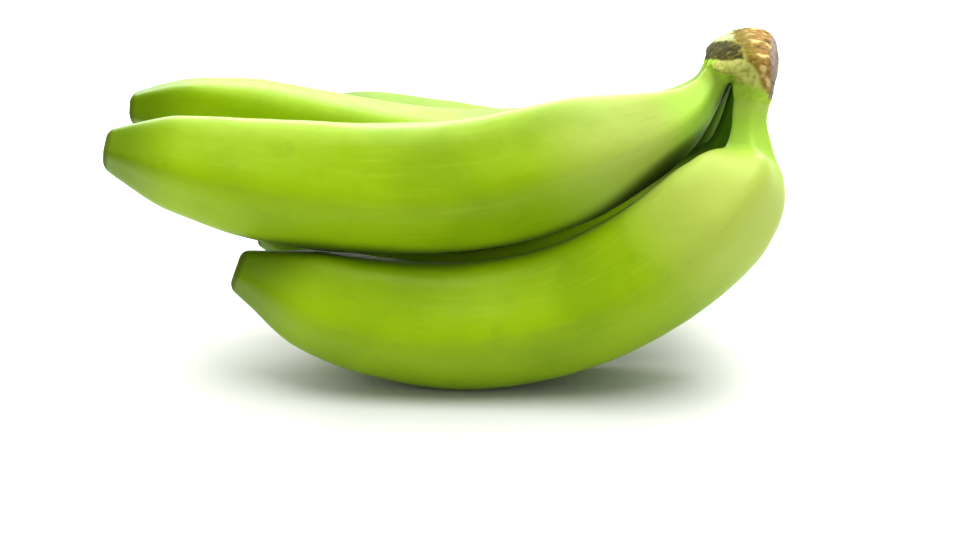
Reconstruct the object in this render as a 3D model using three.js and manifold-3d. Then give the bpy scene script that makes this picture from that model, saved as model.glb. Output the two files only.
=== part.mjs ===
// A bunch of five green bananas, laid on its side: a hand of fruit in two rows that
// share one crown. Millimetres, +Z up, +X towards the crown, +Y towards the back.
// The origin is the centre of the bunch's footprint, on the surface it lies on.
import * as THREE from "three";
import { mergeVertices } from "three/addons/utils/BufferGeometryUtils.js";
import Module from "manifold-3d";

const wasm = await Module();
wasm.setup();

// ---- driving dimensions ------------------------------------------------------------
const RIDGES = 5; // a banana's peel has five faces, which meet in rounded ridges
const RIDGE_SHARPNESS = 7; // higher is flatter faces and crisper ridges
const SIDES = 30; // points around a banana
const RINGS = 44; // rings along a banana
const STUB_RINGS = 5; // rings along the stub of each stalk that belongs to the crown
const END_ROUNDING = 2; // edge radius of the blunt blossom end
const END_STEPS = 3; // rings that turn that edge
const GAP = 0.3; // clearance between a banana's stalk and the crown's stub
const CROWN_STEPS = 4; // points between two outline points of the crown

// Each banana: the middle of the fruit from inside the crown to the blossom end, its
// mean radius at fractions of that length, where its stalk leaves the crown's stub
// (a distance along the middle), and how far its first face is turned, in degrees.
const BANANAS = {
  banana_lower_front: {
    middle: [
      [75.6, 12, 88], [75.6, 11.5, 82], [74.6, 9.5, 75], [73.9, 4.5, 64.2],
      [68.9, -2, 55.4], [49.7, -2, 36.9], [25, -1.5, 23.2], [-5, -1, 17.5],
      [-35, -1, 21.6], [-68.2, 0, 33.5],
    ],
    radius: [
      [0, 5.4], [0.04, 5.1], [0.08, 4.6], [0.12, 6.2], [0.15, 10.4], [0.19, 14.6],
      [0.24, 17.1], [0.35, 17.9], [0.6, 18.1], [0.76, 16.9], [0.88, 14.1], [0.96, 8.4],
      [1, 5.5],
    ],
    stalkStart: 11,
    faceTurn: 0,
  },
  banana_lower_back: {
    middle: [
      [77, 27, 86], [76.7, 28, 80], [75.2, 30.4, 69.3], [73.2, 31.4, 54], [54, 33.4, 33.4],
      [28, 35.6, 20.4], [-4, 36.6, 15.7], [-35, 37.6, 20.8], [-64, 39, 33.4],
    ],
    radius: [
      [0, 5.4], [0.04, 5], [0.09, 5.5], [0.13, 7.8], [0.18, 11.2], [0.25, 14.2],
      [0.38, 15.6], [0.6, 15.8], [0.76, 14.9], [0.88, 11.6], [0.96, 7.4], [1, 6],
    ],
    stalkStart: 10,
    faceTurn: 18,
  },
  banana_upper_front: {
    middle: [
      [73.5, 18, 93], [70.5, 17, 90], [66.6, 15.3, 86.2], [61.8, 12.5, 79.8],
      [53.5, 8.5, 73.8], [34, 6, 66.5], [2, 5, 58], [-30, 4, 56.4], [-62, 4, 59.2],
      [-86, 4, 64.1], [-103.5, 4, 67.3],
    ],
    radius: [
      [0, 2.8], [0.04, 3.9], [0.07, 3.9], [0.11, 5.9], [0.16, 9.8], [0.22, 13.4],
      [0.32, 17.4], [0.46, 18.4], [0.64, 18], [0.78, 16.6], [0.9, 13], [0.97, 7.7], [1, 5],
    ],
    stalkStart: 13.5,
    faceTurn: 0,
  },
  banana_upper_middle: {
    middle: [
      [73, 27, 92], [69.2, 29.6, 85.6], [64.8, 34.2, 75], [54, 38.6, 65.2],
      [32, 41.4, 56.6], [2, 41.4, 50.5], [-30, 40.6, 52.9], [-62, 39.3, 61.4],
      [-86, 38.9, 68.1], [-101.5, 38.6, 69],
    ],
    radius: [
      [0, 3.2], [0.04, 4.6], [0.08, 4.8], [0.13, 6.5], [0.21, 10.2], [0.32, 14],
      [0.46, 16.4], [0.64, 17], [0.8, 15], [0.9, 10.8], [0.97, 6.4], [1, 4.4],
    ],
    stalkStart: 14,
    faceTurn: 18,
  },
  banana_upper_back: {
    middle: [
      [74, 40, 89], [72, 43, 82.2], [69, 50.4, 71.2], [60.5, 60.6, 56], [38, 71.8, 45],
      [12, 75.4, 40.7], [-14, 75, 45.1], [-36, 73.6, 52.9], [-54, 72, 58.8],
    ],
    radius: [
      [0, 3.4], [0.05, 4.9], [0.1, 5.9], [0.16, 7.8], [0.25, 12], [0.36, 15.4], [0.48, 17],
      [0.68, 16.8], [0.8, 14.8], [0.9, 11], [0.97, 6.8], [1, 5.6],
    ],
    stalkStart: 13,
    faceTurn: 20,
  },
};

// The crown's body is lofted along Y. Its outline across Y, as [x, z], runs from the
// thin lip over the upper stalks, over the top, down the cut side and back underneath.
const CROWN_OUTLINE = [
  [63.3, 88.8], [67.3, 92.8], [74.5, 95.2], [81.4, 93.8], [83.2, 88.5], [82.3, 82],
  [79, 79.5], [72.6, 85], [67.8, 88],
];
const CROWN_CENTRE = [76, 88];
// Stations from the front end to the back end: [y, scale, shift in x, shift in z].
const CROWN_STATIONS = [
  [3.5, 0.5, -0.6, -0.6], [5, 0.76, -0.6, -0.6], [8, 0.86, -0.9, -0.4],
  [14, 0.95, -0.5, 0], [24, 1.03, 0.5, -0.5], [34, 1.02, 1.3, -1.5], [43, 0.9, 1.8, -2.9],
  [49, 0.66, 2, -4.1], [52, 0.32, 2.2, -4.7],
];

const peel = new THREE.MeshStandardMaterial({ color: "#8fb41e", roughness: 0.5, metalness: 0 });
const crownSkin = new THREE.MeshStandardMaterial({ color: "#8a7a45", roughness: 0.8, metalness: 0 });

// ---- a banana's section and girth --------------------------------------------------
const FACE_STEP = (2 * Math.PI) / RIDGES;
const HALF_FACE = FACE_STEP / 2;
const ridgeReach = (2 * Math.cos(HALF_FACE) ** RIDGE_SHARPNESS) ** (-1 / RIDGE_SHARPNESS);
const MEAN_REACH = (1 + ridgeReach) / 2;

// Distance from the middle to the peel, at an angle, on a section of mean radius 1.
function sectionReach(angle, faceTurn) {
  let sum = 0;
  for (let face = 0; face < RIDGES; face++) {
    const towardsFace = Math.cos(angle - faceTurn - face * FACE_STEP);
    sum += Math.max(0, towardsFace) ** RIDGE_SHARPNESS;
  }
  return sum ** (-1 / RIDGE_SHARPNESS) / MEAN_REACH;
}

// A smooth curve through [x, y] points that never overshoots them (monotone cubic).
function smoothProfile(points) {
  const slopes = points.slice(1).map(([x, y], i) => (y - points[i][1]) / (x - points[i][0]));
  const tangents = points.map((_, i) => {
    const before = slopes[Math.max(0, i - 1)];
    const after = slopes[Math.min(slopes.length - 1, i)];
    return before * after > 0 ? (2 * before * after) / (before + after) : 0;
  });
  return (x) => {
    let i = 0;
    while (i < points.length - 2 && x > points[i + 1][0]) i++;
    const [x0, y0] = points[i];
    const [x1, y1] = points[i + 1];
    const span = x1 - x0;
    const u = (x - x0) / span;
    const blend = u * u * (3 - 2 * u);
    const ease = span * u * (1 - u);
    return y0 + (y1 - y0) * blend + ease * ((1 - u) * tangents[i] - u * tangents[i + 1]);
  };
}

// ---- lofting -----------------------------------------------------------------------
// Closed solid through rings of equal length, with a flat fan over each end.
function loft(rings) {
  const count = rings[0].length;
  const points = rings.flat();
  const faces = [];
  for (let ring = 0; ring < rings.length - 1; ring++) {
    for (let i = 0; i < count; i++) {
      const a = ring * count + i;
      const b = ring * count + ((i + 1) % count);
      faces.push(a, b, a + count, b, b + count, a + count);
    }
  }
  const middleOf = (ring) =>
    ring.reduce((sum, point) => sum.add(point), new THREE.Vector3()).divideScalar(count);
  const first = points.push(middleOf(rings[0])) - 1;
  const last = points.push(middleOf(rings.at(-1))) - 1;
  const lastRing = (rings.length - 1) * count;
  for (let i = 0; i < count; i++) {
    const next = (i + 1) % count;
    faces.push(first, next, i, last, lastRing + i, lastRing + next);
  }
  const geometry = new THREE.BufferGeometry().setFromPoints(points);
  geometry.setIndex(faces);
  return geometry;
}

// The rings of a banana between two distances along its middle.
function bananaRings(banana, from, to, steps, bluntEnd) {
  const curve = new THREE.CatmullRomCurve3(banana.middle.map((p) => new THREE.Vector3(...p)));
  curve.arcLengthDivisions = 600;
  const length = curve.getLength();
  const radiusAt = smoothProfile(banana.radius);
  const turn = THREE.MathUtils.degToRad(banana.faceTurn);

  const ringAt = (distance, inset) => {
    const along = Math.min(1, distance / length);
    const centre = curve.getPointAt(along);
    const forward = curve.getTangentAt(along);
    const side = new THREE.Vector3(0, 1, 0);
    side.addScaledVector(forward, -side.dot(forward)).normalize();
    const over = side.clone().cross(forward);
    const radius = radiusAt(along) - inset;
    return Array.from({ length: SIDES }, (_, i) => {
      const angle = (-i * 2 * Math.PI) / SIDES; // clockwise, so that the faces point out
      const reach = radius * sectionReach(angle, turn);
      return centre
        .clone()
        .addScaledVector(side, reach * Math.cos(angle))
        .addScaledVector(over, reach * Math.sin(angle));
    });
  };

  const end = bluntEnd ? length - END_ROUNDING : to;
  const rings = [];
  for (let i = 0; i <= steps; i++) rings.push(ringAt(from + ((end - from) * i) / steps, 0));
  if (bluntEnd) {
    for (let i = 1; i <= END_STEPS; i++) {
      const round = (i * Math.PI) / 2 / END_STEPS;
      const inset = END_ROUNDING * (1 - Math.cos(round));
      rings.push(ringAt(end + END_ROUNDING * Math.sin(round), inset));
    }
  }
  return rings;
}

// ---- solids for joining ------------------------------------------------------------
function toSolid(geometry) {
  const merged = mergeVertices(geometry);
  return new wasm.Manifold(
    new wasm.Mesh({
      numProp: 3,
      vertProperties: new Float32Array(merged.attributes.position.array),
      triVerts: new Uint32Array(merged.index.array),
    }),
  );
}

function toGeometry(solid) {
  const { numProp, vertProperties, triVerts } = solid.getMesh();
  const positions = [];
  for (let i = 0; i < vertProperties.length; i += numProp) {
    positions.push(vertProperties[i], vertProperties[i + 1], vertProperties[i + 2]);
  }
  const geometry = new THREE.BufferGeometry();
  geometry.setAttribute("position", new THREE.Float32BufferAttribute(positions, 3));
  geometry.setIndex(Array.from(triVerts));
  return geometry;
}

// ---- the crown: its body, joined to a short stub of every stalk ----------------------
function crownBody() {
  const outline = new THREE.CatmullRomCurve3(
    CROWN_OUTLINE.map(([x, z]) => new THREE.Vector3(x, 0, z)),
    true,
  ).getPoints(CROWN_OUTLINE.length * CROWN_STEPS);
  outline.pop(); // the last point repeats the first
  const [cx, cz] = CROWN_CENTRE;
  const ringAt = ([y, scale, dx, dz]) =>
    outline.map((p) => {
      const x = cx + dx + (p.x - cx) * scale;
      const z = cz + dz + (p.z - cz) * scale;
      return new THREE.Vector3(x, y, z);
    });
  return loft(CROWN_STATIONS.map(ringAt));
}

function makeCrown() {
  let crown = toSolid(crownBody());
  for (const banana of Object.values(BANANAS)) {
    const stub = bananaRings(banana, 0, banana.stalkStart - GAP, STUB_RINGS, false);
    crown = crown.add(toSolid(loft(stub)));
  }
  return toGeometry(crown);
}

// ---- assembly ----------------------------------------------------------------------
const group = new THREE.Group();

function addPart(name, geometry, material) {
  geometry.computeVertexNormals();
  const mesh = new THREE.Mesh(geometry, material);
  mesh.name = name;
  group.add(mesh);
}

addPart("crown", makeCrown(), crownSkin);
for (const [name, banana] of Object.entries(BANANAS)) {
  const rings = bananaRings(banana, banana.stalkStart, Infinity, RINGS, true);
  addPart(name, loft(rings), peel.clone());
}

// The layout above is moved so that the bunch's footprint is centred on the origin.
const bounds = new THREE.Box3().setFromObject(group);
const centre = bounds.getCenter(new THREE.Vector3());
group.position.set(-centre.x, -centre.y, -bounds.min.z);

export default group;
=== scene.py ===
"""A bunch of green bananas on a pale studio floor.

Five bananas in two rows share one crown. Each banana is grown along the middle line that
its CAD solid has, with five faces, ridges between them, a stalk that runs into the crown
and a blunt blossom end. The crown is one lump with the feet of the five stalks fused in.
"""
import math

import bpy
import numpy as np
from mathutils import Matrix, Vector, noise


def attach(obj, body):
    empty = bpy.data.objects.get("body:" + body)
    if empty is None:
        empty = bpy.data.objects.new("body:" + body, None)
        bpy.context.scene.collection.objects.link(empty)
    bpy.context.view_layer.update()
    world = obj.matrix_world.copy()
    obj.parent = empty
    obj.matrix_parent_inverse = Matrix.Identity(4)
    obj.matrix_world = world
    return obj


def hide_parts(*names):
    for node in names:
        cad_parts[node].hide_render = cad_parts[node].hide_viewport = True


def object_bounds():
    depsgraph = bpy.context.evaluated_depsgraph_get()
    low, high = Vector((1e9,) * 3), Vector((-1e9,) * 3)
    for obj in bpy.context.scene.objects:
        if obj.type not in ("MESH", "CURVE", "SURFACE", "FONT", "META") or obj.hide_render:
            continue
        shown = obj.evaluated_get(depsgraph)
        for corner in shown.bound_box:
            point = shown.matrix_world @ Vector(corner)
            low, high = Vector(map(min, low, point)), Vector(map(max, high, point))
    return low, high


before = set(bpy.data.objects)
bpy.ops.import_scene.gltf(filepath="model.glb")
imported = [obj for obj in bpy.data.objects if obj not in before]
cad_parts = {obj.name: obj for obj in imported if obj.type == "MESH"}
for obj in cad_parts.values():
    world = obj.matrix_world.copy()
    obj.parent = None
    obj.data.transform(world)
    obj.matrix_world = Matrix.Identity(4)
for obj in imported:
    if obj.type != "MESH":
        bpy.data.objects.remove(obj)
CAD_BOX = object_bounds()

bl_info = {
    "name": "Banana bunch",
    "version": (1, 0, 0),
    "blender": (4, 5, 0),
    "location": "3D View > Sidebar > Bananas",
    "description": "Grows a bunch of green bananas around its CAD solids",
    "category": "Add Mesh",
}

MM = 0.001

# ---- the layout, in millimetres, as the CAD solids have it -------------------------------
# Each banana: the middle of the fruit from inside the crown to the blossom end, its mean
# radius at fractions of that length, where its stalk leaves the crown's stub, and how far
# its first face is turned, in degrees.
BANANAS = {
    "banana_lower_front": {
        "middle": [
            (75.6, 12, 88), (75.6, 11.5, 82), (74.6, 9.5, 75), (73.9, 4.5, 64.2),
            (68.9, -2, 55.4), (49.7, -2, 36.9), (25, -1.5, 23.2), (-5, -1, 17.5), (-35, -1, 21.6),
            (-68.2, 0, 33.5),
        ],
        "radius": [
            (0, 5.4), (0.04, 5.1), (0.08, 4.6), (0.12, 6.2), (0.15, 10.4), (0.19, 14.6),
            (0.24, 17.1), (0.35, 17.9), (0.6, 18.1), (0.76, 16.9), (0.88, 14.1), (0.96, 8.4),
            (1, 5.5),
        ],
        "stalk_start": 11,
        "face_turn": 0,
    },
    "banana_lower_back": {
        "middle": [
            (77, 27, 86), (76.7, 28, 80), (75.2, 30.4, 69.3), (73.2, 31.4, 54), (54, 33.4, 33.4),
            (28, 35.6, 20.4), (-4, 36.6, 15.7), (-35, 37.6, 20.8), (-64, 39, 33.4),
        ],
        "radius": [
            (0, 5.4), (0.04, 5), (0.09, 5.5), (0.13, 7.8), (0.18, 11.2), (0.25, 14.2),
            (0.38, 15.6), (0.6, 15.8), (0.76, 14.9), (0.88, 11.6), (0.96, 7.4), (1, 6),
        ],
        "stalk_start": 10,
        "face_turn": 18,
    },
    "banana_upper_front": {
        "middle": [
            (73.5, 18, 93), (70.5, 17, 90), (66.6, 15.3, 86.2), (61.8, 12.5, 79.8),
            (53.5, 8.5, 73.8), (34, 6, 66.5), (2, 5, 58), (-30, 4, 56.4), (-62, 4, 59.2),
            (-86, 4, 64.1), (-103.5, 4, 67.3),
        ],
        "radius": [
            (0, 2.8), (0.04, 3.9), (0.07, 3.9), (0.11, 5.9), (0.16, 9.8), (0.22, 13.4),
            (0.32, 17.4), (0.46, 18.4), (0.64, 18), (0.78, 16.6), (0.9, 13), (0.97, 7.7), (1, 5),
        ],
        "stalk_start": 13.5,
        "face_turn": 0,
    },
    "banana_upper_middle": {
        "middle": [
            (73, 27, 92), (69.2, 29.6, 85.6), (64.8, 34.2, 75), (54, 38.6, 65.2),
            (32, 41.4, 56.6), (2, 41.4, 50.5), (-30, 40.6, 52.9), (-62, 39.3, 61.4),
            (-86, 38.9, 68.1), (-101.5, 38.6, 69),
        ],
        "radius": [
            (0, 3.2), (0.04, 4.6), (0.08, 4.8), (0.13, 6.5), (0.21, 10.2), (0.32, 14),
            (0.46, 16.4), (0.64, 17), (0.8, 15), (0.9, 10.8), (0.97, 6.4), (1, 4.4),
        ],
        "stalk_start": 14,
        "face_turn": 18,
    },
    "banana_upper_back": {
        "middle": [
            (74, 40, 89), (72, 43, 82.2), (69, 50.4, 71.2), (60.5, 60.6, 56), (38, 71.8, 45),
            (12, 75.4, 40.7), (-14, 75, 45.1), (-36, 73.6, 52.9), (-54, 72, 58.8),
        ],
        "radius": [
            (0, 3.4), (0.05, 4.9), (0.1, 5.9), (0.16, 7.8), (0.25, 12), (0.36, 15.4), (0.48, 17),
            (0.68, 16.8), (0.8, 14.8), (0.9, 11), (0.97, 6.8), (1, 5.6),
        ],
        "stalk_start": 13,
        "face_turn": 20,
    },
}

# The crown's outline across Y as (x, z), and its stations along Y as (y, scale, shift in x,
# shift in z), as the CAD solid has them.
CROWN_OUTLINE = [
    (63.3, 88.8), (67.3, 92.8), (74.5, 95.2), (81.4, 93.8), (83.2, 88.5), (82.3, 82), (79, 79.5),
    (72.6, 85), (67.8, 88),
]
CROWN_CENTRE = (76, 88)
CROWN_STATIONS = [
    (3.5, 0.5, -0.6, -0.6), (5, 0.76, -0.6, -0.6), (8, 0.86, -0.9, -0.4), (14, 0.95, -0.5, 0),
    (24, 1.03, 0.5, -0.5), (34, 1.02, 1.3, -1.5), (43, 0.9, 1.8, -2.9), (49, 0.66, 2, -4.1),
    (52, 0.32, 2.2, -4.7),
]

# How far inside the bunch each banana lies, 0 to 1: painted shade darkens its green near the crown.
INNER_SHADE = {
    "banana_lower_front": 0,
    "banana_upper_front": 0.12,
    "banana_upper_middle": 0.5,
    "banana_upper_back": 0.8,
    "banana_lower_back": 0.9,
}
FACES = 5  # a banana's peel has five faces
CAD_SHARPNESS = 7  # the CAD solids' ridges, points around them and rings along them,
CAD_SIDES = 30  # which settle the box that the layout is centred by
CAD_RINGS = 44
CAD_END_STEPS = 3

# Ridges of the fruit: soft along its belly, sharper by this much at the neck and at the tip.
BELLY_SHARPNESS = 6.2
NECK_SHARPNESS = 2.7
TIP_SHARPNESS = 1.6
PEEL_SIZES = (24, 7, 2.2)  # width of the swellings, the lesser swellings and the dimples
LESSER_SWELL = 0.35  # share of the swell that the lesser swellings have
SKIN_RADIUS = 18  # radius that the peel's colour patterns are wrapped round at
SKIN_OFFSET = 60  # distance between two bananas' patterns, so that no two are alike

END_ROUNDING = 2  # edge radius of the blossom end
END_STEPS = 8  # rings that turn that edge
DISH_RINGS = 10  # rings over the scar inside it
DISH_DEPTH = 0.9
DISH_BUTTON = 0.5  # height of the button in the middle of the dish
REACH_INTO_CROWN = 6.0  # length of stalk that runs on inside the crown's stub
STALK_THINNING = 0.5  # how much thinner it is there, so that the surfaces cross gently
STUB_THICKENING = 0.45  # how much thicker the stub is than the stalk it holds
STUB_TAPER = 1.1  # how much the stub thins to where the stalk leaves it
STUB_SIDES = 48
STUB_RINGS = 30
STUB_SHARPNESS = 9

# Painted shade: peel this close to the next banana is darkened, more so where it faces down.
CONTACT_REACH = 4.5
CONTACT_REACH_BELOW = 5
CONTACT_FULL = 0.3
CONTACT_SAMPLES = 120

CROWN_OUTLINE_STEPS = 8
CROWN_RINGS = 60
CROWN_SMOOTHING = 10
# The crown's bands follow a plane that sinks towards the back from the crown's front corner.
BAND_HEIGHT = 92
BAND_FRONT = 8
BAND_SLOPE = 0.25
# Where the crown's knife cut starts, as (rise, distance towards the crown's end).
CUT_EDGE = [(-12, 79), (-8, 77.6), (-4, 75.6), (-1, 72.4), (4, 71), (9, 71.5)]
CUT_BOTTOM = 80.2  # height where the cut ends over the stalks
LIP_END = 72.3  # distance along X where the lip meets the cut
LIP_BAND = (-0.8, 4.5)  # rise of the dark lip's lower and upper edges


def linear(hex_colour):
    """Turn an sRGB hex colour into linear red, green, blue."""
    channels = [int(hex_colour[i : i + 2], 16) / 255 for i in (1, 3, 5)]
    return tuple(c / 12.92 if c <= 0.04045 else ((c + 0.055) / 1.055) ** 2.4 for c in channels)


# ---- settings that a user would change -----------------------------------------------------
class PeelSettings(bpy.types.PropertyGroup):
    """Shape and colours of the bananas."""

    rings: bpy.props.IntProperty(
        name="Rings", description="Rings along each banana", default=240, min=40, max=600
    )
    sides: bpy.props.IntProperty(
        name="Sides", description="Points around each banana", default=120, min=30, max=360
    )
    swell: bpy.props.FloatProperty(
        name="Swell",
        description="How far the peel rises and falls over a few centimetres",
        default=0.35 * MM,
        subtype="DISTANCE",
        precision=5,
    )
    dimple: bpy.props.FloatProperty(
        name="Dimple",
        description="How far the peel rises and falls over a few millimetres",
        default=0.05 * MM,
        subtype="DISTANCE",
        precision=5,
    )
    green: bpy.props.FloatVectorProperty(
        name="Green",
        description="Main colour of the peel",
        subtype="COLOR",
        default=linear("#7a9c00"),
    )
    fresh_green: bpy.props.FloatVectorProperty(
        name="Fresh green",
        description="Yellower green of the peel's lighter areas",
        subtype="COLOR",
        default=linear("#8aac02"),
    )
    shoulder: bpy.props.FloatVectorProperty(
        name="Shoulder",
        description="Pale green where the fruit narrows to its stalk",
        subtype="COLOR",
        default=linear("#aec65e"),
    )
    blossom_end: bpy.props.FloatVectorProperty(
        name="Blossom end",
        description="Dark green of the tapered end",
        subtype="COLOR",
        default=linear("#4e6c00"),
    )
    scar: bpy.props.FloatVectorProperty(
        name="Scar", description="Dried scar of the flower", subtype="COLOR", default=linear("#463f26")
    )
    gloss: bpy.props.FloatProperty(
        name="Roughness", description="Roughness of the waxy peel", subtype="FACTOR", default=0.38
    )


class CrownSettings(bpy.types.PropertyGroup):
    """Shape and colours of the crown."""

    voxel: bpy.props.FloatProperty(
        name="Voxel",
        description="Size of the crown's mesh cells",
        default=0.45 * MM,
        subtype="DISTANCE",
        precision=5,
    )
    fibre: bpy.props.FloatProperty(
        name="Fibre depth",
        description="Roughness of the cut face",
        default=0.35 * MM,
        subtype="DISTANCE",
        precision=5,
    )
    skin: bpy.props.FloatVectorProperty(
        name="Skin",
        description="Olive green skin",
        subtype="COLOR",
        default=linear("#9a9e46"),
    )
    flesh: bpy.props.FloatVectorProperty(
        name="Cut flesh",
        description="Dried tan flesh of the cut",
        subtype="COLOR",
        default=linear("#8c6c34"),
    )
    rim: bpy.props.FloatVectorProperty(
        name="Rim",
        description="Greyish brown, weathered side of the cut",
        subtype="COLOR",
        default=linear("#8f8274"),
    )


class StageSettings(bpy.types.PropertyGroup):
    """Light and floor of the studio."""

    surround: bpy.props.FloatProperty(
        name="Surround", description="Brightness of the surroundings", default=0.42
    )
    overhead: bpy.props.FloatProperty(
        name="Overhead light", description="Strength of the soft light from above", default=4.0
    )
    backdrop: bpy.props.FloatProperty(
        name="Backdrop light", description="Power of the lit panel behind", default=50.0, unit="POWER"
    )
    floor: bpy.props.FloatVectorProperty(
        name="Floor", description="Colour of the floor", subtype="COLOR", default=linear("#d0d0cd")
    )


# ---- curves and sections -------------------------------------------------------------------
def through_points(points, closed=False, steps=60):
    """Centripetal Catmull-Rom curve through the points, as a dense polyline."""
    given = np.array(points, float)
    count = len(given)
    spans = count if closed else count - 1
    line = []
    for i in range(spans):
        start, end = given[i], given[(i + 1) % count]
        before = given[(i - 1) % count] if closed or i else 2 * start - end
        after = given[(i + 2) % count] if closed or i < spans - 1 else 2 * end - start
        gap_a = np.linalg.norm(start - before) ** 0.5
        gap_b = np.linalg.norm(end - start) ** 0.5
        gap_c = np.linalg.norm(after - end) ** 0.5
        leave = (start - before) / gap_a - (end - before) / (gap_a + gap_b) + (end - start) / gap_b
        arrive = (end - start) / gap_b - (after - start) / (gap_b + gap_c) + (after - end) / gap_c
        leave, arrive = leave * gap_b, arrive * gap_b
        u = np.linspace(0, 1, steps, endpoint=False)[:, None]
        square = -3 * start + 3 * end - 2 * leave - arrive
        cube = 2 * start - 2 * end + leave + arrive
        line.append(start + leave * u + square * u**2 + cube * u**3)
    if not closed:
        line.append(given[-1:])
    return np.vstack(line)


def smooth_profile(points, x):
    """Monotone cubic through (x, y) points: smooth, and it never overshoots them."""
    xs, ys = np.array(points, float).T
    slopes = np.diff(ys) / np.diff(xs)
    before = np.r_[slopes[:1], slopes]
    after = np.r_[slopes, slopes[-1:]]
    agree = before * after
    total = np.where(agree > 0, before + after, 1)
    tangents = np.where(agree > 0, 2 * agree / total, 0)
    i = np.clip(np.searchsorted(xs, x, side="left") - 1, 0, len(xs) - 2)
    span = xs[i + 1] - xs[i]
    u = (x - xs[i]) / span
    blend = u * u * (3 - 2 * u)
    bend = span * u * (1 - u) * ((1 - u) * tangents[i] - u * tangents[i + 1])
    return ys[i] + (ys[i + 1] - ys[i]) * blend + bend


def section_reach(angle, face_turn, sharpness):
    """Distance from the middle to the peel on a five-faced section of mean radius 1."""
    step = 2 * math.pi / FACES
    total = 0
    for face in range(FACES):
        total = total + np.maximum(0, np.cos(angle - face_turn - face * step)) ** sharpness
    ridge = (2 * math.cos(step / 2) ** sharpness) ** (-1 / sharpness)
    return total ** (-1 / sharpness) / ((1 + ridge) / 2)


def ease(low, high, value):
    """0 below low, 1 above high, and smooth between."""
    t = np.clip((value - low) / (high - low), 0, 1)
    return t * t * (3 - 2 * t)


def roughen(points, size, seed):
    """Smooth noise from -1 to 1 at each point, with bumps about size apart."""
    move = Vector((seed * 17.3, seed * 5.1, seed * 11.7))
    return np.array([noise.noise(Vector(p) / size + move) for p in points])


class Middle:
    """A banana's middle line: points and directions at distances along it."""

    def __init__(self, banana):
        self.line = through_points(banana["middle"])
        gaps = np.linalg.norm(np.diff(self.line, axis=0), axis=1)
        self.distance = np.r_[0, np.cumsum(gaps)]
        self.length = self.distance[-1]
        self.radius = banana["radius"]
        self.face_turn = math.radians(banana["face_turn"])

    def point(self, distance):
        return np.stack([np.interp(distance, self.distance, self.line[:, k]) for k in range(3)], 1)

    def directions(self, distance):
        """Forward, towards the back and over the top, square to each other."""
        step = 0.5
        forward = self.point(np.minimum(distance + step, self.length))
        forward -= self.point(np.maximum(distance - step, 0))
        forward /= np.linalg.norm(forward, axis=1)[:, None]
        across = np.array([0.0, 1.0, 0.0])
        side = across - forward * (forward @ across)[:, None]
        side /= np.linalg.norm(side, axis=1)[:, None]
        return forward, side, np.cross(side, forward)

    def rings(self, distance, inset, shrink, sides, sharpness, wander=0.0):
        """Ring points at each distance; inset is taken off the radius, shrink scales it."""
        angle = -np.arange(sides)[None, :] * 2 * math.pi / sides
        _, side, over = self.directions(distance)
        radius = smooth_profile(self.radius, np.minimum(distance / self.length, 1)) - inset
        reach = section_reach(angle, self.face_turn + wander, sharpness)
        reach = reach * (radius * shrink)[:, None]
        out = np.cos(angle)[..., None] * side[:, None, :] + np.sin(angle)[..., None] * over[:, None, :]
        return self.point(distance)[:, None, :] + reach[..., None] * out, out


def rounded_end(length, steps):
    """Distances and insets of the rings that turn the edge of a blossom end."""
    turn = np.linspace(0, math.pi / 2, steps + 1)[1:]
    distance = length - END_ROUNDING * (1 - np.sin(turn))
    return distance, END_ROUNDING * (1 - np.cos(turn))


def tube_faces(rings, sides):
    """Quads between neighbouring rings, and a fan over each end."""
    faces = []
    for ring in range(rings - 1):
        for i in range(sides):
            a, b = ring * sides + i, ring * sides + (i + 1) % sides
            faces.append((a, b, b + sides, a + sides))
    first, last = rings * sides, rings * sides + 1
    top = (rings - 1) * sides
    for i in range(sides):
        following = (i + 1) % sides
        faces.append((first, following, i))
        faces.append((last, top + i, top + following))
    return faces


def crown_body():
    """Points and faces of the crown's lump, as a fine loft."""
    corners = [(x, 0, z) for x, z in CROWN_OUTLINE]
    outline = through_points(corners, closed=True, steps=CROWN_OUTLINE_STEPS)
    y, scale, dx, dz = np.array(CROWN_STATIONS, float).T
    fine_y = np.linspace(y[0], y[-1], CROWN_RINGS)
    scale, dx, dz = (np.interp(fine_y, y, value) for value in (scale, dx, dz))
    cx, cz = CROWN_CENTRE
    points = np.stack(
        [
            cx + dx[:, None] + (outline[None, :, 0] - cx) * scale[:, None],
            np.repeat(fine_y[:, None], len(outline), 1),
            cz + dz[:, None] + (outline[None, :, 2] - cz) * scale[:, None],
        ],
        2,
    )
    ends = np.array([points[0].mean(0), points[-1].mean(0)])
    return np.vstack([points.reshape(-1, 3), ends]), tube_faces(len(fine_y), len(outline))


def layout_shift():
    """The move that centres the layout on its own footprint, where the CAD solids are."""
    crown, _ = crown_body()
    low = crown.min(0)
    high = crown.max(0)
    for banana in BANANAS.values():
        middle = Middle(banana)
        body = np.linspace(banana["stalk_start"], middle.length - END_ROUNDING, CAD_RINGS + 1)
        end, end_inset = rounded_end(middle.length, CAD_END_STEPS)
        distance = np.r_[body, end]
        inset = np.r_[body * 0, end_inset]
        points, _ = middle.rings(distance, inset, np.ones_like(distance), CAD_SIDES, CAD_SHARPNESS)
        low = np.minimum(low, points.min((0, 1)))
        high = np.maximum(high, points.max((0, 1)))
    box_low, box_high = (np.array(corner) / MM for corner in CAD_BOX)
    shift = (box_low + box_high - low - high) / 2
    shift[2] = box_low[2] - low[2]
    return shift


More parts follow.
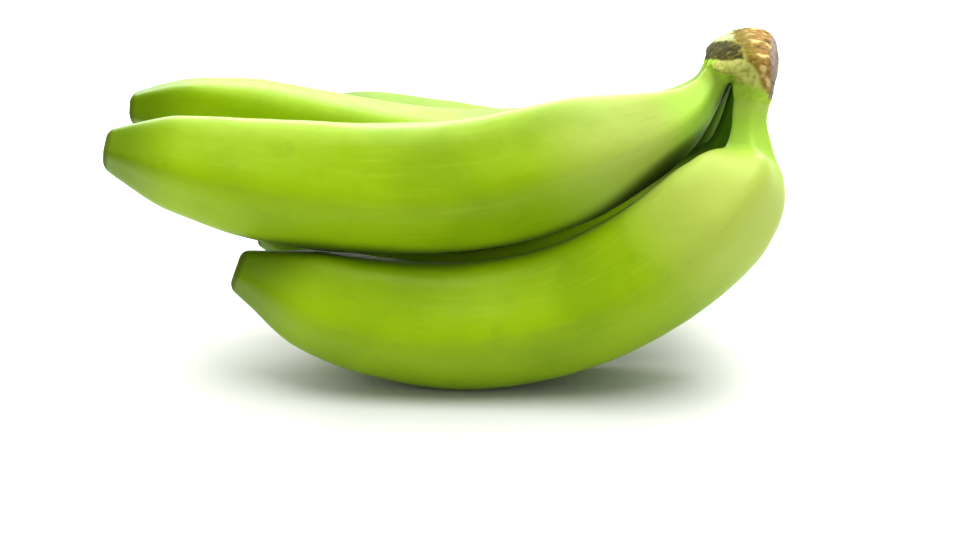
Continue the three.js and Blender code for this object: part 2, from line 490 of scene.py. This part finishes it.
SHIFT = layout_shift()
CAMERA_TARGET = np.array([0, 25, 24])  # in the layout
CAMERA_ELEVATION = 19.5  # degrees above the floor
CAMERA_DISTANCE = 660 * MM
CAMERA_LENS = 85
CAMERA_SENSOR = 36
FLOOR_REACH = 4.0  # metres to each side
OVERHEAD_PLACE = (0.08, -0.06, 1.0)
OVERHEAD_SPREAD = 50  # degrees across, for soft shadows
BACKDROP_PLACE = (0, 1.0, 0.9)
BACKDROP_SIZE = (2.0, 1.6)


# ---- meshes --------------------------------------------------------------------------------
def inside_cad_box(points):
    """Keep small bumps from rising past the CAD solids' box, or sinking into the floor."""
    low, high = (np.array(corner) / MM - SHIFT for corner in CAD_BOX)
    return np.clip(points, low, high)


def set_values(mesh, values):
    """Give a mesh's points named values, which its material reads."""
    for key, value in values.items():
        value = np.asarray(value, np.float32)
        kind, field = ("FLOAT_VECTOR", "vector") if value.ndim == 2 else ("FLOAT", "value")
        mesh.attributes.new(key, kind, "POINT").data.foreach_set(field, value.ravel())


def add_mesh(name, points, faces, values=None):
    """Make an object from points in layout millimetres, with named values at its points."""
    mesh = bpy.data.meshes.new(name)
    mesh.from_pydata([tuple(p) for p in (points + SHIFT) * MM], [], faces)
    set_values(mesh, values or {})
    mesh.shade_smooth()
    piece = bpy.data.objects.new(name, mesh)
    bpy.context.scene.collection.objects.link(piece)
    return piece


def clearance(points, name):
    """Distance from each point of one banana to the nearest of the others."""
    nearest = np.full(len(points), 99.0)
    for other, banana in BANANAS.items():
        if other == name:
            continue
        middle = Middle(banana)
        distance = np.linspace(banana["stalk_start"], middle.length, CONTACT_SAMPLES)
        radius = smooth_profile(banana["radius"], distance / middle.length)
        for centre, reach in zip(middle.point(distance), radius):
            offset = points - centre
            gap = np.sqrt(np.einsum("ij,ij->i", offset, offset)) - reach
            nearest = np.minimum(nearest, gap)
    return nearest


def banana_mesh(name, seed, settings):
    """One banana, from inside the crown's stub to the scar in its blossom end."""
    banana = BANANAS[name]
    middle = Middle(banana)
    length = middle.length
    sides = settings.sides
    start = banana["stalk_start"] - REACH_INTO_CROWN
    body = np.linspace(start, length - END_ROUNDING, settings.rings)
    end, end_inset = rounded_end(length, END_STEPS)
    across_dish = np.linspace(1, 0.08, DISH_RINGS + 1)[1:]
    dish = length - DISH_DEPTH * ease(1.0, 0.55, across_dish)
    dish += DISH_BUTTON * ease(0.35, 0.0, across_dish)
    distance = np.r_[body, end, dish]
    inset = np.r_[body * 0, end_inset, dish * 0 + END_ROUNDING]
    shrink = np.r_[body * 0 + 1, end * 0 + 1, across_dish]

    inset = inset + STALK_THINNING * ease(banana["stalk_start"] + 0.5, start, distance)
    along = distance / length
    sharpness = BELLY_SHARPNESS + NECK_SHARPNESS * ease(0.22, 0.08, along)
    sharpness += TIP_SHARPNESS * ease(0.82, 0.97, along)
    # The ridges wander a few degrees to and fro along the fruit.
    wander = 0.05 * np.sin(2 * math.pi * along * 1.3 + seed) + 0.03 * np.sin(15 * along + 2 * seed)
    points, out = middle.rings(distance, inset, shrink, sides, sharpness[:, None], wander[:, None])

    flat = points.reshape(-1, 3)
    outward = out.reshape(-1, 3)
    on_peel = np.repeat(ease(0.0, 0.15, along) * ease(0.3, 0.9, shrink), sides)
    wide, lesser, dimples = PEEL_SIZES
    swell = roughen(flat, wide, seed) * settings.swell / MM
    swell += roughen(flat, lesser, seed + 10) * LESSER_SWELL * settings.swell / MM
    swell += roughen(flat, dimples, seed + 20) * settings.dimple / MM
    flat = inside_cad_box(flat + outward * (swell * on_peel)[:, None])

    angle = np.tile(-np.arange(sides) * 2 * math.pi / sides, len(distance))
    step = 2 * math.pi / FACES
    turned = angle - middle.face_turn - np.repeat(wander, sides)
    ridge = 1 - np.abs((turned / step) % 1 - 0.5) * 2
    along_mm = np.repeat(distance, sides)
    around = SKIN_RADIUS * np.cos(angle)
    up = SKIN_RADIUS * np.sin(angle) + SKIN_OFFSET * seed
    # Painted shade in the creases: peel near another banana is darkened, further where it faces down.
    close = CONTACT_REACH + CONTACT_REACH_BELOW * ease(0.1, -0.6, outward[:, 2])
    values = {
        "peel_place": np.stack([around, up, along_mm], 1),
        "from_crown": along_mm - banana["stalk_start"],
        "from_end": np.maximum(length - along_mm, 0),
        "ridge": ridge,
        "scar": np.repeat(ease(1.0, 0.8, shrink), sides),
        "inner_shade": np.full(len(angle), INNER_SHADE[name]),
        "painted_crease_shade": ease(close, CONTACT_FULL, clearance(flat, name)),
    }
    ends = middle.point(np.array([start, length - 0.4]))
    flat = np.vstack([flat, ends])
    for key, at_ends in {
        "peel_place": [[0, SKIN_OFFSET * seed, start], [0, SKIN_OFFSET * seed, length]],
        "from_crown": [-REACH_INTO_CROWN, length],
        "from_end": [length, 0],
        "ridge": [0, 0],
        "scar": [0, 1],
        "inner_shade": [INNER_SHADE[name]] * 2,
        "painted_crease_shade": [0, 0],
    }.items():
        values[key] = np.concatenate([values[key], np.array(at_ends, float)])
    return add_mesh(name + "_fruit", flat, tube_faces(len(distance), sides), values)


def stalk_stub(banana):
    """Points and faces of the foot of one stalk, which the crown holds."""
    middle = Middle(banana)
    leaves = banana["stalk_start"]
    distance = np.linspace(0, leaves + 2, STUB_RINGS)
    inset = STUB_TAPER * ease(leaves - 4, leaves + 2, distance)
    inset -= STUB_THICKENING * ease(1, leaves - 5, distance)
    shrink = np.ones_like(distance)
    points, _ = middle.rings(distance, inset, shrink, STUB_SIDES, STUB_SHARPNESS)
    ends = middle.point(distance[[0, -1]])
    return np.vstack([points.reshape(-1, 3), ends]), tube_faces(STUB_RINGS, STUB_SIDES)


def remesh(piece, voxel, smoothing):
    """Fuse a piece's overlapping solids into one skin and round off the joins."""
    fuse = piece.modifiers.new("Fuse", "REMESH")
    fuse.mode = "VOXEL"
    fuse.voxel_size = voxel
    soften = piece.modifiers.new("Soften", "SMOOTH")
    soften.factor = 0.5
    soften.iterations = smoothing
    graph = bpy.context.evaluated_depsgraph_get()
    mesh = bpy.data.meshes.new_from_object(piece.evaluated_get(graph))
    piece.modifiers.clear()
    old = piece.data
    piece.data = mesh
    mesh.name = old.name
    bpy.data.meshes.remove(old)


def near_stalk(place, banana):
    """1 at the foot of a banana's stalk, where the crown's skin turns green, 0 elsewhere."""
    middle = Middle(banana)
    leaves = banana["stalk_start"]
    distance = np.linspace(0, leaves + 2, 24)
    centres = middle.point(distance)
    gaps = np.linalg.norm(place[:, None, :] - centres[None, :, :], axis=2)
    nearest = gaps.argmin(1)
    radius = smooth_profile(banana["radius"], distance[nearest] / middle.length)
    close = ease(1.9, 1.3, gaps.min(1) / radius)
    return close * ease(leaves - 9.5, leaves - 5, distance[nearest])


def crown_mesh(settings):
    """The crown with its stubs, its lip and its dried, fibrous cut face."""
    points, faces = crown_body()
    for banana in BANANAS.values():
        stub_points, stub_faces = stalk_stub(banana)
        base = len(points)
        faces = faces + [tuple(i + base for i in face) for face in stub_faces]
        points = np.vstack([points, stub_points])
    piece = add_mesh("crown_stem", points, faces)
    remesh(piece, settings.voxel, CROWN_SMOOTHING)

    mesh = piece.data
    count = len(mesh.vertices)
    co = np.empty(count * 3)
    normal = np.empty(count * 3)
    mesh.vertices.foreach_get("co", co)
    mesh.vertex_normals.foreach_get("vector", normal)
    place = co.reshape(-1, 3) / MM - SHIFT
    normal = normal.reshape(-1, 3)
    x, y, z = place.T

    rise = z - BAND_HEIGHT + BAND_SLOPE * (y - BAND_FRONT)
    ragged = roughen(place, 5, 3) * 1.2 + roughen(place, 1.8, 4) * 0.7
    edge = np.interp(rise, *np.array(CUT_EDGE).T)
    cut = ease(-0.6, 0.6, x - edge + ragged)
    cut *= ease(CUT_BOTTOM - 0.6, CUT_BOTTOM + 0.6, z + 0.5 * ragged)
    side = ease(0.4, 0.75, normal[:, 0] + 0.1 * ragged) * cut
    low, high = LIP_BAND
    # A dark olive-brown band is painted along the lip's front edge.
    lip = ease(low - 0.4, low + 0.4, rise + 0.4 * ragged) * (1 - cut)
    lip *= ease(high + 0.5, high - 0.5, rise + 0.5 * ragged)
    lip *= ease(LIP_END + 0.7, LIP_END - 0.8, x + 0.5 * ragged)
    # Painted light: the skin over the crown's top, above the lip, is painted paler and greyer.
    painted_lit_top = ease(high - 0.5, high + 0.7, rise + 0.5 * ragged) * (1 - cut)
    stalk = np.max([near_stalk(place, banana) for banana in BANANAS.values()], axis=0)

    # Fibres of about 1 mm stand out on the cut, and the skin wrinkles from front to back.
    fibre = roughen(place, 1.1, 5) * 0.6 + roughen(place, 3.5, 6)
    wrinkle = roughen(place * np.array([1, 0.35, 1]), 1.6, 7)
    wrinkled = 0.35 * (1 - cut) * (1 - stalk)
    depth = settings.fibre / MM * (cut * fibre + wrinkled * wrinkle)
    place = inside_cad_box(place + normal * depth[:, None])
    mesh.vertices.foreach_set("co", ((place + SHIFT) * MM).ravel())
    values = {
        "place": place,
        "cut": cut,
        "far": ease(73, 78, x + ragged),
        "side": side,
        "lip": lip,
        "painted_lit_top": painted_lit_top,
        "stalk": stalk,
    }
    set_values(mesh, values)
    mesh.shade_smooth()
    mesh.update()
    return piece


# ---- materials -----------------------------------------------------------------------------
MIX_AMOUNT, MIX_UNDER, MIX_OVER, MIXED = 0, 6, 7, 2  # the colour sockets of a Mix node


def add_node(tree, kind, links=None, **settings):
    """Add a node with its settings, and fill its inputs with values or other nodes' outputs."""
    node = tree.nodes.new(kind)
    for key, value in settings.items():
        setattr(node, key, value)
    for key, value in (links or {}).items():
        socket = node.inputs[key]
        if isinstance(value, bpy.types.NodeSocket):
            tree.links.new(value, socket)
        elif socket.type == "RGBA":
            socket.default_value = (*value, 1)
        else:
            socket.default_value = value
    return node


def read_values(tree, names):
    """The values that a mesh's points carry, as sockets."""
    return [
        add_node(tree, "ShaderNodeAttribute", attribute_name=name).outputs["Fac"] for name in names
    ]


def new_material(name):
    material = bpy.data.materials.new(name)
    material.use_nodes = True
    tree = material.node_tree
    tree.nodes.clear()
    return material, tree


def mask(tree, *parts):
    """Multiply masks. A part is a socket, or a socket with the two values that it runs
    between and what it gives at each, eased between them."""
    whole = None
    for part in parts:
        if isinstance(part, tuple):
            value, low, high, start, finish = part
            links = {
                "Value": value,
                "From Min": low,
                "From Max": high,
                "To Min": start,
                "To Max": finish,
            }
            ramp = add_node(tree, "ShaderNodeMapRange", links, interpolation_type="SMOOTHSTEP")
            part = ramp.outputs["Result"]
        if whole is not None:
            both = add_node(tree, "ShaderNodeMath", {0: whole, 1: part}, operation="MULTIPLY")
            part = both.outputs[0]
        whole = part
    return whole


def paint(tree, colour, *coats):
    """Lay coats over a colour, one after another. A coat is its colour and its masks."""
    for over, *parts in coats:
        links = {MIX_AMOUNT: mask(tree, *parts), MIX_UNDER: colour, MIX_OVER: over}
        colour = add_node(tree, "ShaderNodeMix", links, data_type="RGBA").outputs[MIXED]
    return colour


def peel_material(settings):
    """The peel's material, coloured by where on the fruit it is."""
    # Unripe banana peel, grown with a waxy bloom: a soft, wide sheen over slightly mottled
    # green, faint streaks along the fruit, paler shoulders and a darker blossom end.
    material, tree = new_material("waxy green banana peel")
    place = add_node(tree, "ShaderNodeAttribute", attribute_name="peel_place").outputs["Vector"]
    from_crown, from_end, ridge, scar, inner_shade, painted_crease_shade = read_values(
        tree, ("from_crown", "from_end", "ridge", "scar", "inner_shade", "painted_crease_shade")
    )

    # Patches of colour about 40 mm across, mottling of about 7 mm, streaks about 1.5 mm
    # wide, scratches about 1 mm wide in places about 16 mm across, and a grain of 0.7 mm.
    drawn_out = add_node(tree, "ShaderNodeMapping", {"Vector": place, "Scale": (1, 1, 0.06)})
    scratched = add_node(tree, "ShaderNodeMapping", {"Vector": place, "Scale": (1, 1, 0.08)})
    broad, mottle, streak, lines, where, grain = [
        add_node(
            tree, "ShaderNodeTexNoise", {"Vector": vector, "Scale": 1 / size, "Detail": detail}
        ).outputs["Fac"]
        for vector, size, detail in (
            (place, 40, 2.0),
            (place, 7, 4.0),
            (drawn_out.outputs[0], 1.5, 3.0),
            (scratched.outputs[0], 1 / 1.1, 0.0),
            (place, 16, 1.0),
            (place, 0.7, 2.0),
        )
    ]
    # Pores 3 mm apart and 0.3 mm across, drawn a little coarser so that they show, and brown
    # flecks about 0.8 mm across, 22 mm apart.
    pores, flecks = [
        add_node(tree, "ShaderNodeTexVoronoi", {"Vector": place, "Scale": 1 / apart}).outputs[0]
        for apart in (3, 22)
    ]

    # Painted shade: bananas inside the bunch are darkened, most of all near the crown, where it is
    # shaded.
    painted_inner_shade = mask(tree, inner_shade, (from_crown, 60, 25, 0.35, 1))
    rim = mask(tree, (from_end, 2.4, 0.8, 0, 0.75))
    colour = paint(
        tree,
        settings.green,
        (settings.fresh_green, (broad, 0.35, 0.65, 0, 1)),
        (linear("#6c8c02"), (mottle, 0.5, 0.8, 0, 0.3)),
        (linear("#a6c22c"), (streak, 0.52, 0.75, 0, 0.16)),
        # Shoulders: paler, with a tan blush, then green again down the stalk.
        (settings.shoulder, (from_crown, 60, 24, 0, 0.85)),
        (linear("#a2a63c"), (from_crown, 62, 30, 0, 0.4), (broad, 0.4, 0.6, 0, 1)),
        (linear("#9cc83c"), (from_crown, 24, 12, 0, 0.85)),
        (linear("#aabf50"), (from_crown, 6, -3, 0, 0.7)),
        (settings.blossom_end, (from_end, 24, 3, 0, 0.8)),
        # Painted shade inside the bunch, near the crown.
        (linear("#385c00"), painted_inner_shade),
        # Painted shade: where two bananas lie close together, in the crease, the peel is darkest.
        (linear("#263c00"), (painted_crease_shade, 0, 1, 0, 0.9)),
        # Ridge lines, pores, flecks and scratches, all faint.
        (linear("#6f8420"), (ridge, 0.92, 1, 0, 0.14), (mottle, 0.4, 0.6, 0, 1)),
        (linear("#66701c"), (pores, 0.1, 0.05, 0, 0.25), (mottle, 0.45, 0.6, 0, 1)),
        (linear("#6b5f1e"), (flecks, 0.035, 0.015, 0, 0.75)),
        (linear("#65752a"), (lines, 0.68, 0.74, 0, 0.16), (where, 0.6, 0.68, 0, 1)),
        # The blossom end's edge and its dried scar.
        (linear("#4a5410"), rim),
        (settings.scar, scar),
    )

    dry = add_node(tree, "ShaderNodeMath", {0: rim, 1: scar}, operation="MAXIMUM").outputs[0]
    dull = add_node(tree, "ShaderNodeMath", {0: dry, 1: painted_inner_shade}, operation="MAXIMUM").outputs[0]
    waxy = add_node(
        tree,
        "ShaderNodeMapRange",
        {"Value": mottle, "To Min": settings.gloss - 0.05, "To Max": settings.gloss + 0.07},
    )
    roughness = add_node(
        tree,
        "ShaderNodeMath",
        {0: waxy.outputs["Result"], 1: mask(tree, (dull, 0, 1, 0, 0.4))},
        operation="ADD",
    )
    relief = add_node(tree, "ShaderNodeMath", {0: streak, 1: grain}, operation="ADD")
    bump = add_node(
        tree,
        "ShaderNodeBump",
        {"Height": relief.outputs[0], "Strength": 0.5, "Distance": 0.05 * MM},
    )
    skin = add_node(
        tree,
        "ShaderNodeBsdfPrincipled",
        {
            "Base Color": colour,
            "Roughness": roughness.outputs[0],
            "Normal": bump.outputs[0],
            "IOR": 1.45,
            "Specular IOR Level": mask(tree, (inner_shade, 0.3, 0.6, 0.32, 0.08), (dry, 0, 1, 1, 0.2)),
            "Specular Tint": linear("#eeffb0"),
            "Sheen Weight": mask(tree, (inner_shade, 0.6, 0.8, 0.12, 0.02), (dry, 0, 1, 1, 0)),
            "Sheen Roughness": 0.35,
            "Sheen Tint": linear("#e4ffc0"),
        },
    )
    add_node(tree, "ShaderNodeOutputMaterial", {"Surface": skin.outputs[0]})
    return material


def crown_material(settings):
    """The crown's material, coloured by what each part of it is."""
    # Banana crown, cut with a knife and dried in air: matt olive skin, painted paler and greyer
    # over its top as painted light where the top is lit, with a dark band along the lip, round a
    # cut of tan fibres, cream patches and a duller, greyer side.
    material, tree = new_material("dried fibrous banana crown")
    place = add_node(tree, "ShaderNodeAttribute", attribute_name="place").outputs["Vector"]
    on_cut, far, side, lip, painted_lit_top, stalk = read_values(
        tree, ("cut", "far", "side", "lip", "painted_lit_top", "stalk")
    )
    # Blotches about 5 mm across, clumps of fibre 4 mm, speckles 1.6 mm and fibres 1.3 mm.
    blotch, clump, speckle = [
        add_node(
            tree, "ShaderNodeTexNoise", {"Vector": place, "Scale": 1 / size, "Detail": detail}
        ).outputs["Fac"]
        for size, detail in ((5, 4.0), (4, 1.5), (1.6, 3.0))
    ]
    voronoi = add_node(tree, "ShaderNodeTexVoronoi", {"Vector": place, "Scale": 1 / 1.3})
    fibres = voronoi.outputs["Distance"]

    # Pale grey-green laid over the crown's top as painted light.
    pale = paint(tree, linear("#a4ac80"), (linear("#7f8848"), (speckle, 0.48, 0.7, 0, 1)))
    dark = paint(tree, linear("#302c00"), (linear("#5e5816"), (speckle, 0.5, 0.75, 0, 1)))
    grey = paint(tree, settings.rim, (linear("#63504a"), (speckle, 0.5, 0.75, 0, 1)))
    cut = paint(
        tree,
        linear("#6e6018"),
        (settings.flesh, far),
        (linear("#62481c"), (speckle, 0.5, 0.66, 0, 0.6)),
        (linear("#cfb877"), (clump, 0.57, 0.65, 0, 0.8), far),
        (linear("#e6d39c"), (fibres, 0.3, 0.12, 0, 0.14)),
        (linear("#4a3d08"), (clump, 0.42, 0.34, 0, 0.9)),
        (grey, side),
    )
    colour = paint(
        tree,
        settings.skin,
        (linear("#aeb062"), (blotch, 0.42, 0.62, 0, 1)),
        (linear("#6f6c26"), (speckle, 0.5, 0.7, 0, 0.6)),
        (pale, painted_lit_top),
        (linear("#9cbc3c"), stalk),
        (dark, lip),
        (cut, on_cut),
    )

    relief = add_node(tree, "ShaderNodeMath", {0: speckle, 1: fibres}, operation="ADD")
    bump = add_node(
        tree,
        "ShaderNodeBump",
        {"Height": relief.outputs[0], "Strength": 0.8, "Distance": 0.3 * MM},
    )
    dried = add_node(
        tree,
        "ShaderNodeBsdfPrincipled",
        {
            "Base Color": colour,
            "Roughness": 0.85,
            "Specular IOR Level": 0.1,
            "Normal": bump.outputs[0],
            "IOR": 1.45,
        },
    )
    add_node(tree, "ShaderNodeOutputMaterial", {"Surface": dried.outputs[0]})
    return material


def floor_material(settings):
    """The floor's material."""
    # Uncoated studio paper from a roll: matt, even and pale, so that only shadows show on it.
    material, tree = new_material("matt white studio paper")
    paper = add_node(
        tree, "ShaderNodeBsdfPrincipled", {"Base Color": settings.floor, "Roughness": 0.9}
    )
    add_node(tree, "ShaderNodeOutputMaterial", {"Surface": paper.outputs[0]})
    return material


# ---- operators -----------------------------------------------------------------------------
class BUNCH_OT_grow_bananas(bpy.types.Operator):
    """Grow the five bananas over their CAD solids"""

    bl_idname = "bunch.grow_bananas"
    bl_label = "Grow Bananas"

    def execute(self, context):
        settings = context.scene.banana_peel
        material = peel_material(settings)
        for seed, name in enumerate(BANANAS, start=1):
            piece = banana_mesh(name, seed, settings)
            piece.data.materials.append(material)
            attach(piece, "root")
            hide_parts(name)
        return {"FINISHED"}


class BUNCH_OT_grow_crown(bpy.types.Operator):
    """Grow the crown over its CAD solid"""

    bl_idname = "bunch.grow_crown"
    bl_label = "Grow Crown"

    def execute(self, context):
        settings = context.scene.banana_crown
        piece = crown_mesh(settings)
        piece.data.materials.append(crown_material(settings))
        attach(piece, "root")
        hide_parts("crown")
        return {"FINISHED"}


class BUNCH_OT_set_stage(bpy.types.Operator):
    """Lay the floor, hang the softbox and place the camera"""

    bl_idname = "bunch.set_stage"
    bl_label = "Set Stage"

    def execute(self, context):
        scene = context.scene
        settings = scene.banana_stage
        floor_mesh = bpy.data.meshes.new("floor")
        ground = CAD_BOX[0].z
        sides = [(-1, -1), (1, -1), (1, 1), (-1, 1)]
        corners = [(FLOOR_REACH * x, FLOOR_REACH * y, ground) for x, y in sides]
        floor_mesh.from_pydata(corners, [], [(0, 1, 2, 3)])
        floor = bpy.data.objects.new("floor", floor_mesh)
        floor_mesh.materials.append(floor_material(settings))
        scene.collection.objects.link(floor)

        world = bpy.data.worlds.new("white studio")
        world.use_nodes = True
        scene.world = world
        background = world.node_tree.nodes["Background"]
        background.inputs["Color"].default_value = (1, 1, 1, 1)
        background.inputs["Strength"].default_value = settings.surround

        overhead = bpy.data.lights.new("overhead", "SUN")
        overhead.energy = settings.overhead
        overhead.angle = math.radians(OVERHEAD_SPREAD)
        hang(overhead, Vector(OVERHEAD_PLACE))
        panel = bpy.data.lights.new("backdrop", "AREA")
        panel.shape = "RECTANGLE"
        panel.size, panel.size_y = BACKDROP_SIZE
        panel.energy = settings.backdrop
        hang(panel, Vector(BACKDROP_PLACE))

        camera = bpy.data.cameras.new("camera")
        camera.lens = CAMERA_LENS
        camera.sensor_width = CAMERA_SENSOR
        camera.clip_start = 10 * MM
        eye = bpy.data.objects.new("camera", camera)
        target = Vector((CAMERA_TARGET + SHIFT) * MM)
        tilt = math.radians(CAMERA_ELEVATION)
        eye.location = target + CAMERA_DISTANCE * Vector((0, -math.cos(tilt), math.sin(tilt)))
        scene.collection.objects.link(eye)
        aim(eye, target)
        scene.camera = eye
        scene.view_settings.view_transform = "Standard"
        return {"FINISHED"}


def hang(light, place):
    """Place a light so that it shines on the bunch."""
    lamp = bpy.data.objects.new(light.name, light)
    lamp.location = place
    lamp.visible_camera = False
    bpy.context.scene.collection.objects.link(lamp)
    aim(lamp, Vector((0, 0, 40 * MM)))


def aim(thing, target):
    """Turn a lamp or camera to look at a point."""
    thing.rotation_euler = (target - thing.location).to_track_quat("-Z", "Y").to_euler()


class BUNCH_PT_panel(bpy.types.Panel):
    """Lists what the bunch is made of, with its settings"""

    bl_idname = "BUNCH_PT_panel"
    bl_label = "Banana Bunch"
    bl_space_type = "VIEW_3D"
    bl_region_type = "UI"
    bl_category = "Bananas"

    def draw(self, context):
        groups = {
            "bunch.grow_bananas": context.scene.banana_peel,
            "bunch.grow_crown": context.scene.banana_crown,
            "bunch.set_stage": context.scene.banana_stage,
        }
        for operator, settings in groups.items():
            box = self.layout.box()
            box.operator(operator)
            for key in settings.__annotations__:
                box.prop(settings, key)


CLASSES = (
    PeelSettings,
    CrownSettings,
    StageSettings,
    BUNCH_OT_grow_bananas,
    BUNCH_OT_grow_crown,
    BUNCH_OT_set_stage,
    BUNCH_PT_panel,
)
SETTINGS = {
    "banana_peel": PeelSettings,
    "banana_crown": CrownSettings,
    "banana_stage": StageSettings,
}


def register():
    for each in CLASSES:
        bpy.utils.register_class(each)
    for name, group in SETTINGS.items():
        setattr(bpy.types.Scene, name, bpy.props.PointerProperty(type=group))


def unregister():
    for name in SETTINGS:
        delattr(bpy.types.Scene, name)
    for each in reversed(CLASSES):
        bpy.utils.unregister_class(each)


def main():
    register()
    bpy.ops.bunch.grow_bananas()
    bpy.ops.bunch.grow_crown()
    bpy.ops.bunch.set_stage()
    bpy.context.view_layer.update()


if __name__ == "__main__":
    main()
